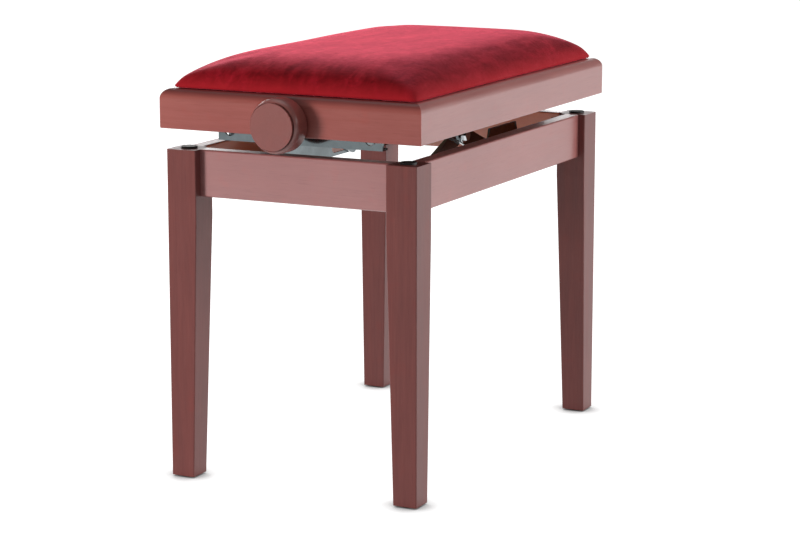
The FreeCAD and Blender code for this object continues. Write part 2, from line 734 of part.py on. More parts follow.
def board_screws():
    """Screws that hold the upper rails' flanges to the board."""
    screws = []
    y = upper_web_inner - size("upper_rail_flange") / 2
    seat = board_bottom - "web_thickness"
    places = [(name, distance, sign) for name, sign in ENDS
              for distance in ("board_screw_inner", "board_screw_outer")]
    for side, side_sign in SIDES:
        for end, distance, end_sign in places:
            name = f"{distance}_{side}_{end}"
            spot = signed(distance, end_sign), across(y, 0, side_sign)
            head = cylinder(f"{name}_head", "screw_head_diameter", "screw_head_height",
                            *spot, seat - "screw_head_height")
            shank = cylinder(f"{name}_shank", "screw_diameter", "screw_length", *spot, seat)
            screws.append(fuse(name, head, shank))
    keep(group("board_screws", screws))


def pivot_pins(label, height, tip_face, head_face, head_outside):
    """Short headed pins, from a plain tip inside the arm to a head on the rail's far face."""
    pins = []
    head_height = size("pivot_head_height")
    for side, sign in SIDES:
        low = tip_face if head_outside else head_face
        high = head_face if head_outside else tip_face
        shank = cylinder(f"{label}_{side}_shank", "pivot_pin_diameter", high - low, pivot_x,
                         across(low, high - low, sign), height, "Y")
        start = head_face if head_outside else head_face - head_height
        head = cylinder(f"{label}_{side}_head", "pivot_head_diameter", head_height, pivot_x,
                        across(start, head_height, sign), height, "Y")
        pins.append(fuse(f"{label}_{side}", shank, head))
    keep(group(label, pins))


def centre_bolts():
    """Hex-headed bolts with washers, fixed in the rising arms, on which the falling arms turn."""
    bolts = []
    height = size("lower_pivot_height") + rise / 2
    washer = size("centre_washer_thickness")
    washer_face = falling_arm_outer + "arm_gap"
    shank_length = washer_face - rising_arm_inner
    for side, sign in SIDES:
        name = f"centre_bolt_{side}"
        shank = cylinder(f"{name}_shank", "centre_bolt_diameter", shank_length, middle_x,
                         across(rising_arm_inner, shank_length, sign), height, "Y")
        disc = cylinder(f"{name}_washer", "centre_washer_diameter", washer, middle_x,
                        across(washer_face, washer, sign), height, "Y")
        head = hexagon(f"{name}_head", "centre_head_width", "centre_head_height", middle_x,
                       across(washer_face + washer, size("centre_head_height"), sign), height, "Y")
        bolts.append(fuse(name, shank, disc, head))
    keep(group("centre_bolts", bolts))


def washered_bar(label, z, start, washer_face, sign):
    """A round bar that runs outward across the bench, with a washer near its outer end."""
    washer = size("bar_washer_thickness")
    length = washer_face + washer + "bar_overhang" - start
    rod = cylinder(f"{label}_rod", "bar_diameter", length, slide_x, across(start, length, sign),
                   z, "Y")
    disc = cylinder(f"{label}_washer", "bar_washer_diameter", washer, slide_x,
                    across(washer_face, washer, sign), z, "Y")
    return fuse(label, rod, disc)


def bars():
    """Pins from the falling arms into the lower rails' slots, and bars from the nut."""
    pins = []
    for side, sign in SIDES:
        pins.append(washered_bar(f"slide_pin_{side}", "lower_pivot_height", falling_arm_inner,
                                 size("lower_web_outer") + "arm_gap", sign))
        keep(washered_bar(f"drive_bar_{side}", spindle_height, size("nut_width") / 2,
                          rising_arm_outer + "arm_gap", sign))
    keep(group("slide_pins", pins))


# ---- spindle, nut and knobs ------------------------------------------------------------

def drive_nut():
    length, width, height = size("nut_length"), size("nut_width"), size("nut_height")
    block = doc.addObject("Part::Box", "nut_block")
    bind(block, Length=length, Width=width, Height=height)
    place(block, slide_x - length / 2, across(0, width / 2, -1), spindle_height - height / 2)
    bore = cylinder("nut_bore", size("spindle_diameter") + "spindle_thread_clearance",
                    length * 2, slide_x - length, "lift_offset", spindle_height, "X")
    keep(cut("drive_nut", block, bore))


knob_back = half_seat_length + "knob_gap"


def spindle():
    length = (knob_back + "knob_socket_depth") * 2
    keep(cylinder("threaded_spindle", "spindle_diameter", length, -length / 2, "lift_offset",
                  spindle_height, "X"))


def round_piece(label, x, diameter, length, sign):
    """A disc or sleeve on the spindle's axis, from a distance outward."""
    return cylinder(label, diameter, length, outward(x, size(length), sign), "lift_offset",
                    spindle_height, "X")


def bushes_and_collars():
    face, thickness = size("end_plate_face"), size("end_plate_thickness")
    running = size("spindle_diameter") + "spindle_clearance"
    flange = size("bush_flange_thickness")
    collar_start = face - thickness - flange - "collar_gap" - "collar_length"
    collars = []
    for name, sign in ENDS:
        sleeve = round_piece(f"bush_sleeve_{name}", face - thickness, "bush_diameter", thickness,
                             sign)
        rim = round_piece(f"bush_rim_{name}", face - thickness - flange, "bush_flange_diameter",
                          flange, sign)
        bore = round_piece(f"bush_bore_{name}", face - thickness * 3, running, thickness * 4, sign)
        keep(cut(f"spindle_bush_{name}", fuse(f"bush_blank_{name}", sleeve, rim), bore))
        ring = round_piece(f"collar_ring_{name}", collar_start, "collar_diameter", "collar_length",
                           sign)
        hole = round_piece(f"collar_hole_{name}", collar_start - thickness, "spindle_diameter",
                           thickness * 2 + "collar_length", sign)
        collars.append(cut(f"collar_{name}", ring, hole))
    keep(group("spindle_collars", collars))


def knob(name, turn, sign):
    """A turned knob: round shoulder, fine ring groove and a flat face.

    Sketched with its length along X from its back and its radius along Z.
    """
    radius, length = size("knob_diameter") / 2, size("knob_length")
    face = size("knob_face_diameter") / 2
    shoulder = size("knob_shoulder_radius")
    socket = size("spindle_diameter") / 2
    groove, depth = size("knob_groove_width"), size("knob_groove_depth")
    bevel = size("knob_back_bevel")
    shoulder_start = length - shoulder
    rise_angle = math.acos((face.value - radius.value + shoulder.value) / shoulder.value)
    rim_x = shoulder_start + shoulder * math.sin(rise_angle)
    corners = [(0, socket), ("knob_socket_depth", socket), ("knob_socket_depth", 0), (length, 0),
               (length, face - groove), (rim_x - depth, face - groove), (rim_x - depth, face),
               (rim_x, face), (shoulder_start, radius), (bevel, radius), (0, radius - bevel)]
    corners = [(size(x), size(z)) for x, z in corners]
    body = new_body(f"knob_{name}")
    profile = new_sketch(body, "XZ_Plane")
    points = [Vector(x.value, z.value, 0) for x, z in corners]
    arc_at = 7
    for index, start in enumerate(points):
        end = points[(index + 1) % len(points)]
        if index == arc_at:
            turned = Vector(shoulder_start.value, radius.value - shoulder.value, 0)
            half_way = Vector(math.sin(rise_angle / 2), math.cos(rise_angle / 2), 0)
            middle = turned + half_way * shoulder.value
            profile.addGeometry(Part.Arc(start, middle, end), False)
        else:
            profile.addGeometry(Part.LineSegment(start, end), False)
    # the arc is stored anticlockwise, from the rim to the shoulder's start
    for index in range(len(points)):
        following = (index + 1) % len(points)
        profile.addConstraint(Sketcher.Constraint("Coincident", index, 2, following, 1))
        if index != arc_at:
            pin_point(profile, index, 1, *corners[index])
    pin_point(profile, arc_at, 3, shoulder_start, radius - shoulder)
    feature = body.newObject("PartDesign::Revolution", "Revolution")
    feature.Profile = profile
    feature.ReferenceAxis = (profile, ["H_Axis"])
    feature.Angle = 360
    keep(place(body, signed(knob_back, sign), "lift_offset", spindle_height, turn))


# ---- the whole bench -------------------------------------------------------------------

for corner in CORNERS:
    leg(*corner)
aprons()
leg_discs("leg_bumpers", "bumper_diameter", "bumper_height", "bumper_edge_radius", True,
          size("leg_width") / 2)
leg_discs("leg_glides", "glide_diameter", "glide_height", "glide_edge_radius", False,
          size("leg_foot_width") / 2)
corner_brackets()
lower_rails()
rail_brackets()
pivot_pins("lower_pivot_pins", size("lower_pivot_height"),
           rising_arm_inner + "pivot_tip_recess", size("lower_web_outer"), True)
seat_rails()
seat_board()
seat_corner_blocks()
seat_cushion()
upper_rails()
end_plates()
board_screws()
pivot_pins("upper_pivot_pins", size("upper_pivot_height"),
           falling_arm_outer - "pivot_tip_recess", upper_web_inner, False)
scissor_arms()
centre_bolts()
bars()
drive_nut()
spindle()
bushes_and_collars()
knob("left", 180, -1)
knob("right", 0, 1)
doc.recompute()

for item in doc.Objects:
    if {"Invalid", "Error"} & set(item.State):
        raise ValueError(f"{item.Label}: {item.State}")
os.makedirs("parts", exist_ok=True)
for node in nodes:
    if node.Shape.isNull() or not node.Shape.isValid():
        raise ValueError(f"{node.Label} has no valid shape")
    node.Shape.exportStep(f"parts/{node.Label}.step")
print(len(nodes), "nodes")
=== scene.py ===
import json
import math

import bpy
import bmesh
from mathutils import Euler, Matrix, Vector, noise

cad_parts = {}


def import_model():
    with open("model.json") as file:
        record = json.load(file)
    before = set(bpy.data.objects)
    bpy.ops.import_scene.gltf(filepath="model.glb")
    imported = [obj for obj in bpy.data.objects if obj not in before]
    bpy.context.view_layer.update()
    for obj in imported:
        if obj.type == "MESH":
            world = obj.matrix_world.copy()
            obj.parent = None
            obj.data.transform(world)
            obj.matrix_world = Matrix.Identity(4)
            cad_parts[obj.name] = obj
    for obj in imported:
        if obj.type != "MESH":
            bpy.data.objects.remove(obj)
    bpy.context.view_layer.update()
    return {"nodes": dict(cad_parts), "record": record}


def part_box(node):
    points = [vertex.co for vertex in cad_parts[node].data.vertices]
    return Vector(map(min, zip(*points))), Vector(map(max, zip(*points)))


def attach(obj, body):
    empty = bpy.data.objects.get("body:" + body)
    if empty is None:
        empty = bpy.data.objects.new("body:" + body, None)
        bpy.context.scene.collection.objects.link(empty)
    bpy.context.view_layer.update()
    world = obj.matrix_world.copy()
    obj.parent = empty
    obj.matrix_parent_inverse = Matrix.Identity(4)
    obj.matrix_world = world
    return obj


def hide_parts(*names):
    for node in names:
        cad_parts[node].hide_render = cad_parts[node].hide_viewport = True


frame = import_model()
nodes = frame["nodes"]

MM = 0.001
WHITE = (1.0, 1.0, 1.0)

# ---- materials ---------------------------------------------------------------------------


class Graph:
    """A small helper that builds one material's nodes."""

    def __init__(self, name):
        self.material = bpy.data.materials.new(name)
        self.material.use_nodes = True
        self.tree = self.material.node_tree
        self.shader = self.tree.nodes["Principled BSDF"]

    def add(self, kind, **settings):
        node = self.tree.nodes.new(kind)
        for key, value in settings.items():
            setattr(node, key, value)
        return node

    def link(self, source, target):
        self.tree.links.new(source, target)

    def set(self, **values):
        for key, value in values.items():
            self.shader.inputs[key.replace("_", " ")].default_value = value

    def position(self, scale=(1, 1, 1), turn=(0, 0, 0)):
        coordinates = self.add("ShaderNodeTexCoord")
        mapping = self.add("ShaderNodeMapping")
        mapping.inputs["Scale"].default_value = scale
        mapping.inputs["Rotation"].default_value = turn
        self.link(coordinates.outputs["Object"], mapping.inputs["Vector"])
        return mapping.outputs["Vector"]

    def noise(self, vector, scale, detail=4.0, roughness=0.5, distortion=0.0):
        node = self.add("ShaderNodeTexNoise")
        node.inputs["Scale"].default_value = scale
        node.inputs["Detail"].default_value = detail
        node.inputs["Roughness"].default_value = roughness
        node.inputs["Distortion"].default_value = distortion
        self.link(vector, node.inputs["Vector"])
        return node.outputs["Fac"]

    def ramp(self, value, stops):
        node = self.add("ShaderNodeValToRGB")
        elements = node.color_ramp.elements
        while len(elements) < len(stops):
            elements.new(0.5)
        for element, (place, color) in zip(elements, stops):
            element.position = place
            element.color = (*color, 1.0)
        self.link(value, node.inputs["Fac"])
        return node.outputs["Color"]

    def spread(self, value, low, high, start=0.0, end=1.0):
        node = self.add("ShaderNodeMapRange")
        node.inputs["From Min"].default_value = start
        node.inputs["From Max"].default_value = end
        node.inputs["To Min"].default_value = low
        node.inputs["To Max"].default_value = high
        self.link(value, node.inputs["Value"])
        return node.outputs["Result"]

    def mix(self, factor, first, second, blend="MIX"):
        node = self.add("ShaderNodeMix", data_type="RGBA", blend_type=blend)
        if isinstance(factor, float):
            node.inputs["Factor"].default_value = factor
        else:
            self.link(factor, node.inputs["Factor"])
        for value, socket in ((first, node.inputs["A"]), (second, node.inputs["B"])):
            if isinstance(value, tuple):
                socket.default_value = (*value, 1.0)
            else:
                self.link(value, socket)
        return node.outputs["Result"]

    def math(self, operation, first, second):
        node = self.add("ShaderNodeMath", operation=operation)
        for value, socket in zip((first, second), node.inputs):
            if isinstance(value, float):
                socket.default_value = value
            else:
                self.link(value, socket)
        return node.outputs["Value"]

    def bump(self, height, strength, distance):
        node = self.add("ShaderNodeBump")
        node.inputs["Strength"].default_value = strength
        node.inputs["Distance"].default_value = distance
        self.link(height, node.inputs["Height"])
        self.link(node.outputs["Normal"], self.shader.inputs["Normal"])


def srgb(red, green, blue):
    """Linear colour from 0-255 screen values."""
    def linear(value):
        value /= 255
        return value / 12.92 if value <= 0.04045 else ((value + 0.055) / 1.055) ** 2.4
    return tuple(linear(value) for value in (red, green, blue))


# painted light: the darker and lighter streaks of the wood inside the frame, painted lighter and
# warmer than outside
PAINTED_INSIDE_LIGHT_LOW, PAINTED_INSIDE_LIGHT_HIGH = srgb(206, 92, 50), srgb(236, 122, 74)
# painted shade: the dark red painted into the short seat rails' rounded upper edge under the
# cushion
PAINTED_EDGE_SHADE = srgb(84, 12, 12)
# the grain's scale along the fibre, where it is 1 across it
GRAIN_STRETCH = 0.05
# distances from the middle that end half a millimetre behind the aprons' inner faces; inside them
# the wood is painted lighter and warmer, as painted light
INSIDE_X, INSIDE_Y = 0.2435, 0.1395
# heights between which the short seat rails are painted darker towards their rounded upper edge,
# as painted shade under the cushion
EDGE_FROM, EDGE_TO = 0.4735, 0.4800


def wood(name, grain_axis, light, dark, gloss=0.34, coat=0.4, shine=0.5, painted_light_inside=None, edge_shade=None):
    """Satin lacquered mahogany: fine grain and pores along one axis, soft cloudy stain.

    An axis and a distance from the middle may be given, inside which the colour is painted lighter
    and warmer: painted light standing in for light inside the frame.
    A stretch of height may be given in which the colour is painted darker upward into the rounded
    edge: painted shade under the cushion, with its dark red reflection painted in.
    """
    graph = Graph(name)
    stretch = [1.0, 1.0, 1.0]
    stretch["XYZ".index(grain_axis)] = GRAIN_STRETCH
    along = graph.position(tuple(stretch))
    everywhere = graph.position()
    fibre = graph.noise(along, 340.0, detail=6.0, roughness=0.65, distortion=0.5)
    streak = graph.noise(along, 70.0, detail=4.0, roughness=0.55, distortion=0.8)
    cloud = graph.noise(everywhere, 8.0, detail=3.0, roughness=0.55)
    speck = graph.noise(everywhere, 45.0, detail=2.0)
    pore = graph.noise(along, 900.0, detail=2.0)
    tone = graph.math("ADD", graph.math("MULTIPLY", fibre, 0.5),
                      graph.math("MULTIPLY", streak, 0.5))
    color = graph.ramp(tone, [(0.30, dark), (0.70, light)])
    stain = graph.ramp(cloud, [(0.34, (0.86, 0.80, 0.80)), (0.66, WHITE)])
    warmth = graph.ramp(speck, [(0.60, WHITE), (0.78, (1.12, 0.90, 0.86))])
    pores = graph.ramp(pore, [(0.30, (0.6, 0.5, 0.5)), (0.40, WHITE)])
    for strength, tint in ((0.7, stain), (0.6, warmth), (0.25, pores)):
        color = graph.mix(strength, color, tint, "MULTIPLY")
    split = graph.add("ShaderNodeSeparateXYZ")
    graph.link(everywhere, split.inputs["Vector"])
    # painted shade: the colour darkens upward into the rounded edge under the cushion
    if edge_shade:
        depth = graph.spread(split.outputs["Z"], 0.0, 0.85, *edge_shade)
        color = graph.mix(depth, color, PAINTED_EDGE_SHADE)
    # painted light: inside the frame the colour is painted lighter and warmer
    if painted_light_inside:
        axis, distance = painted_light_inside
        from_middle = graph.math("ABSOLUTE", split.outputs[axis], 0.0)
        inside = graph.math("LESS_THAN", from_middle, distance)
        color = graph.mix(inside, color, graph.mix(streak, PAINTED_INSIDE_LIGHT_LOW, PAINTED_INSIDE_LIGHT_HIGH))
    graph.link(color, graph.shader.inputs["Base Color"])
    graph.link(graph.spread(streak, gloss - 0.04, gloss + 0.08, 0.3, 0.7),
               graph.shader.inputs["Roughness"])
    graph.bump(tone, strength=0.10, distance=0.4 * MM)
    graph.set(Coat_Weight=coat, Coat_Roughness=0.22, Specular_IOR_Level=shine)
    return graph.material


def plain(name, color, roughness, metallic=0.0, grain=220.0, depth=0.15, wear=0.82):
    """A base for the small parts: fine noise in colour, roughness and bump."""
    graph = Graph(name)
    speckle = graph.noise(graph.position(), grain, detail=5.0, roughness=0.6)
    patch = graph.noise(graph.position(), grain * 0.09, detail=3.0, roughness=0.6)
    dark = tuple(value * wear for value in color)
    tone = graph.mix(0.5, graph.ramp(speckle, [(0.3, dark), (0.7, color)]),
                     graph.ramp(patch, [(0.35, dark), (0.65, color)]))
    graph.link(tone, graph.shader.inputs["Base Color"])
    graph.link(graph.spread(patch, roughness * 0.75, roughness * 1.3, 0.3, 0.7),
               graph.shader.inputs["Roughness"])
    graph.bump(speckle, strength=depth, distance=0.2 * MM)
    graph.set(Metallic=metallic)
    return graph.material


# the first colour is painted light, for the lighter band just above the cushion's rim; the second
# tints the sheen
RIM_PAINTED_LIGHT, PILE_SHEEN = srgb(176, 34, 42), srgb(240, 96, 118)


def velvet():
    """Deep red pile: sheen, brushed nap patches and a fine fibre bump."""
    graph = Graph("velvet")
    brushed = graph.position((1.0, 1.7, 1.4), (0.0, 0.0, 0.5))
    combed = graph.position((0.35, 1.6, 1.0), (0.0, 0.0, -0.4))
    crossed = graph.position((1.0, 0.5, 1.0), (0.0, 0.0, 0.6))
    patches = graph.noise(brushed, 15.0, detail=5.0, roughness=0.55, distortion=0.6)
    strokes = graph.noise(combed, 46.0, detail=4.0, roughness=0.6, distortion=0.8)
    fibres = graph.noise(graph.position(), 1100.0, detail=3.0, roughness=0.6)
    mottle = graph.noise(crossed, 210.0, detail=3.0, roughness=0.6)
    nap = graph.math("ADD", graph.math("MULTIPLY", patches, 0.58),
                     graph.math("MULTIPLY", strokes, 0.42))
    color = graph.ramp(nap, [(0.38, srgb(94, 5, 11)), (0.50, srgb(122, 11, 21)),
                             (0.62, srgb(152, 21, 35))])
    uneven = graph.ramp(mottle, [(0.3, (0.68, 0.56, 0.56)), (0.7, (1.3, 1.25, 1.25))])
    color = graph.mix(0.6, color, uneven, "MULTIPLY")
    # painted light: the colour is lighter just above the rim, where the cover bulges out at its
    # base
    split = graph.add("ShaderNodeSeparateXYZ")
    graph.link(graph.position(), split.inputs["Vector"])
    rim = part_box("seat_cushion")[0].z
    wave = graph.math("MULTIPLY", graph.math("SUBTRACT", patches, 0.5), 0.02)
    height_here = graph.math("ADD", split.outputs["Z"], wave)
    rim_lit = graph.spread(height_here, 0.8, 0.0, rim + 3 * MM, rim + 20 * MM)
    color = graph.mix(rim_lit, color, RIM_PAINTED_LIGHT)
    graph.link(color, graph.shader.inputs["Base Color"])
    graph.link(graph.spread(nap, 0.95, 0.7, 0.35, 0.65), graph.shader.inputs["Roughness"])
    graph.link(graph.spread(mottle, 0.72, 1.0, 0.35, 0.6), graph.shader.inputs["Sheen Weight"])
    height = graph.math("ADD", fibres, graph.math("MULTIPLY", nap, 0.5))
    graph.bump(height, strength=0.25, distance=0.8 * MM)
    graph.set(Sheen_Roughness=0.34, Sheen_Tint=(*PILE_SHEEN, 1.0), Specular_IOR_Level=0.1)
    return graph.material


# copies of one lacquered mahogany, their colours set part by part as painted light and shade: the
# legs painted darker, the aprons lighter and the seat rails redder, to match how light falls on
# each
mahogany_leg = wood("mahogany_leg", "Z", srgb(126, 66, 61), srgb(106, 48, 44), coat=0.0, shine=0.4)
mahogany_apron_x = wood("mahogany_apron_x", "X", srgb(168, 104, 100), srgb(157, 92, 88),
                        painted_light_inside=("Y", INSIDE_Y))
mahogany_apron_y = wood("mahogany_apron_y", "Y", srgb(164, 101, 98), srgb(153, 89, 86), coat=0.9,
                        shine=0.8, painted_light_inside=("X", INSIDE_X))
mahogany_seat_x = wood("mahogany_seat_x", "X", srgb(162, 92, 86), srgb(151, 80, 75), coat=0.7)
mahogany_seat_y = wood("mahogany_seat_y", "Y", srgb(167, 92, 84), srgb(154, 78, 70), coat=0.15,
                       shine=0.4, edge_shade=(EDGE_FROM, EDGE_TO))
mahogany_knob = wood("mahogany_knob", "X", srgb(142, 78, 71), srgb(132, 69, 64), gloss=0.36)
plywood = plain("plywood", srgb(178, 132, 88), 0.6)
steel = plain("zinc_plated_steel", srgb(118, 127, 130), 0.09, metallic=1.0, grain=60.0,
              depth=0.02, wear=0.6)
bright_steel = plain("bright_steel", srgb(205, 208, 210), 0.12, metallic=1.0, grain=160.0,
                     depth=0.1)
brass = plain("brass", srgb(205, 170, 95), 0.3, metallic=1.0)
rubber = plain("black_rubber", srgb(26, 25, 25), 0.55)
plastic = plain("black_plastic", srgb(30, 30, 31), 0.45)
red_velvet = velvet()


def dress(node, material):
    """Give a CAD node one material."""
    mesh = nodes[node].data
    mesh.materials.clear()
    mesh.materials.append(material)


FINISH = {"turned_mahogany": mahogany_knob, "plywood": plywood, "red_velvet": red_velvet,
          "black_rubber": rubber, "black_plastic": plastic, "brass": brass,
          "zinc_plated_steel": steel, "bright_steel": bright_steel}
for part in frame["record"]["subparts"]:
    node, slot = part["node"], part["material_slot"]
    along_x = node.endswith(("front", "rear"))
    # the legs take the copy painted darker, as painted shade
    if node.startswith("leg_") and slot == "lacquered_mahogany":
        dress(node, mahogany_leg)
    elif node.startswith("apron"):
        dress(node, mahogany_apron_x if along_x else mahogany_apron_y)
    elif slot == "lacquered_mahogany":
        dress(node, mahogany_seat_x if along_x else mahogany_seat_y)
    else:
        dress(node, FINISH[slot])


def new_piece(name, mesh, material, body, slot, *replaced):
    """Enter a finished bmesh as a smooth piece on a body, in place of CAD nodes."""
    data = bpy.data.meshes.new(name)
    mesh.to_mesh(data)
    mesh.free()
    piece = bpy.data.objects.new(name, data)
    bpy.context.scene.collection.objects.link(piece)
    for polygon in data.polygons:
        polygon.use_smooth = True
    data.materials.append(material)
    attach(piece, body)
    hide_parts(*replaced)
    return piece


# ---- cushion -----------------------------------------------------------------------------

COLUMNS, ROWS = 76, 52
# the pad stands this far outside its CAD solid all round, less its waist
FULLNESS = 3.2 * MM
# room left under the CAD solid's top for the cover to swell
SWELL_ROOM = 3.2 * MM
MOST_SWELL = 3 * MM
CORNER_RADIUS, WAIST, TUCK = 9 * MM, 1.8 * MM, 3.0 * MM
# heights above the seat frame's top: the underside, the rim, and where the crown begins
UNDERSIDE_LIFT, RIM_LIFT, CROWN_LIFT = 0.3 * MM, 2.5 * MM, 10 * MM
# the cover turns over from the rim along a quarter of an ellipse this high and this wide
EDGE_RISE, EDGE_RUN = 7.5 * MM, 6.5 * MM


def eased(step, count):
    """Grid places from -1 to 1 that lie closer together near the ends."""
    place = step / count * 2 - 1
    return 0.55 * place + 0.45 * math.sin(math.pi / 2 * place)


def rounded(x, y, half_x, half_y, radius):
    """Move a point of a rectangle into the same rectangle with round corners."""
    over_x, over_y = abs(x) - (half_x - radius), abs(y) - (half_y - radius)
    if over_x <= 0 or over_y <= 0:
        return x, y
    shrink = max(over_x, over_y) / math.hypot(over_x, over_y)
    return (math.copysign(half_x - radius + over_x * shrink, x),
            math.copysign(half_y - radius + over_y * shrink, y))


def cushion_shape(low, high):
    """A closed pad: crowned top, tucked rim and flat underside. Returns it and its held part."""
    half_x, half_y = (high.x - low.x) / 2 + FULLNESS, (high.y - low.y) / 2 + FULLNESS
    rim = low.z + RIM_LIFT
    crown = high.z - rim - EDGE_RISE - SWELL_ROOM
    mesh = bmesh.new()

    def layer(inset, height_at):
        grid = []
        for row in range(ROWS + 1):
            v = eased(row, ROWS)
            line = []
            for column in range(COLUMNS + 1):
                u = eased(column, COLUMNS)
                waist_x, waist_y = WAIST * (1 - v * v), WAIST * (1 - u * u)
                x, y = rounded(u * (half_x - inset), v * (half_y - inset), half_x - inset,
                               half_y - inset, CORNER_RADIUS)
                x -= math.copysign(waist_x, x) * abs(u) ** 6
                y -= math.copysign(waist_y, y) * abs(v) ** 6
                line.append(mesh.verts.new((x, y, height_at(u, v))))
            grid.append(line)
        return grid

    def top_height(u, v):
        from_edge = min((1 - abs(u)) * half_x, (1 - abs(v)) * half_y, EDGE_RUN) / EDGE_RUN
        edge = EDGE_RISE * math.sqrt(1 - (1 - from_edge) ** 2)
        # the filling is a little fuller towards the right end
        along = (1 - abs(u) ** (11.0 if u > 0 else 7.0)) ** 0.6
        across = (1 - abs(v) ** 6.5) ** 0.85
        return rim + edge + crown * along * across

    top = layer(0.0, top_height)
    bottom = layer(TUCK, lambda u, v: low.z + UNDERSIDE_LIFT)
    for row in range(ROWS):
        for column in range(COLUMNS):
            for grid, order in ((top, 1), (bottom, -1)):
                corners = (grid[row][column], grid[row][column + 1],
                           grid[row + 1][column + 1], grid[row + 1][column])
                mesh.faces.new(corners[::order])

    def border(grid):
        return (grid[0][:-1] + [line[-1] for line in grid[:-1]] + grid[-1][:0:-1]
                + [line[0] for line in grid[:0:-1]])

    above, below = border(top), border(bottom)
    for index in range(len(above)):
        following = (index + 1) % len(above)
        mesh.faces.new((above[following], above[index], below[index], below[following]))
    mesh.verts.index_update()
    held = [vertex.index for line in bottom for vertex in line] + [v.index for v in above]
    return mesh, held


SETTLE_FRAMES = 20


def inflate(piece, held, most):
    """Let air pressure settle the cover, with its rim and underside held; cap each move."""
    start = [vertex.co.copy() for vertex in piece.data.vertices]
    group = piece.vertex_groups.new(name="held")
    group.add(held, 1.0, "REPLACE")
    cloth = piece.modifiers.new("cover", "CLOTH")
    settings = cloth.settings
    settings.quality = 6
    settings.mass = 0.3
    settings.tension_stiffness = 25
    settings.compression_stiffness = 25
    settings.bending_stiffness = 4
    settings.use_pressure = True
    settings.uniform_pressure_force = 4
    settings.effector_weights.gravity = 0
    settings.vertex_group_mass = "held"
    cloth.collision_settings.use_self_collision = False
    cloth.point_cache.frame_start, cloth.point_cache.frame_end = 1, SETTLE_FRAMES
    for number in range(1, SETTLE_FRAMES + 1):
        bpy.context.scene.frame_set(number)
    shaped = piece.evaluated_get(bpy.context.evaluated_depsgraph_get()).to_mesh()
    ends = [vertex.co.copy() for vertex in shaped.vertices]
    piece.to_mesh_clear()
    piece.modifiers.remove(cloth)
    piece.vertex_groups.remove(group)
    for vertex, before, after in zip(piece.data.vertices, start, ends):
        move = after - before
        vertex.co = before + move * (most / (most + move.length))
    bpy.context.scene.frame_set(1)


def level_out(piece, above):
    """Even out small lumps of the crown, well above its rim."""
    mesh = bmesh.new()
    mesh.from_mesh(piece.data)
    crown = [vertex for vertex in mesh.verts if vertex.co.z > above]
    for _ in range(6):
        bmesh.ops.smooth_vert(mesh, verts=crown, factor=0.5, use_axis_x=True, use_axis_y=True,
                              use_axis_z=True)
    mesh.to_mesh(piece.data)
    mesh.free()


UNEVENNESS = 0.5 * MM


def pucker(piece, low):
    """Shallow pulls where the cover is stapled down, and a barely uneven filling."""
    for vertex in piece.data.vertices:
        place = vertex.co
        rise = place.z - low.z
        if rise < 1 * MM:
            continue
        near_rim = math.exp(-((rise - 7 * MM) / (6 * MM)) ** 2)
        pull = noise.noise(Vector((place.x * 30, place.y * 30, 1.7)))
        soft = noise.noise(Vector((place.x * 8, place.y * 8, 4.2)))
        vertex.co += vertex.normal * (UNEVENNESS * near_rim * pull
                                      + UNEVENNESS * min(rise / 0.03, 1) * soft)


def cushion():
    """A velvet pad whose cover is blown up by simulation over its crowned filling."""
    low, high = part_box("seat_cushion")
    mesh, held = cushion_shape(low, high)
    piece = new_piece("velvet_cushion", mesh, red_velvet, "seat", "red_velvet", "seat_cushion")
    inflate(piece, held, MOST_SWELL)
    level_out(piece, low.z + CROWN_LIFT)
    pucker(piece, low)
    smooth = piece.modifiers.new("smooth", "SUBSURF")
    smooth.levels = smooth.render_levels = 1
    with bpy.context.temp_override(object=piece, active_object=piece,
                                   selected_objects=[piece]):
        bpy.ops.object.modifier_apply(modifier=smooth.name)


cushion()


# ---- spindle -----------------------------------------------------------------------------

THREAD_ROOT, THREAD_PITCH, THREAD_SIDES = 4.9 * MM, 4 * MM, 28
# the thread ends this far inside the collars' outer faces
THREAD_INSET = 12 * MM
# the plain ends' radius as a share of the thread's
PLAIN_SHARE = 0.985


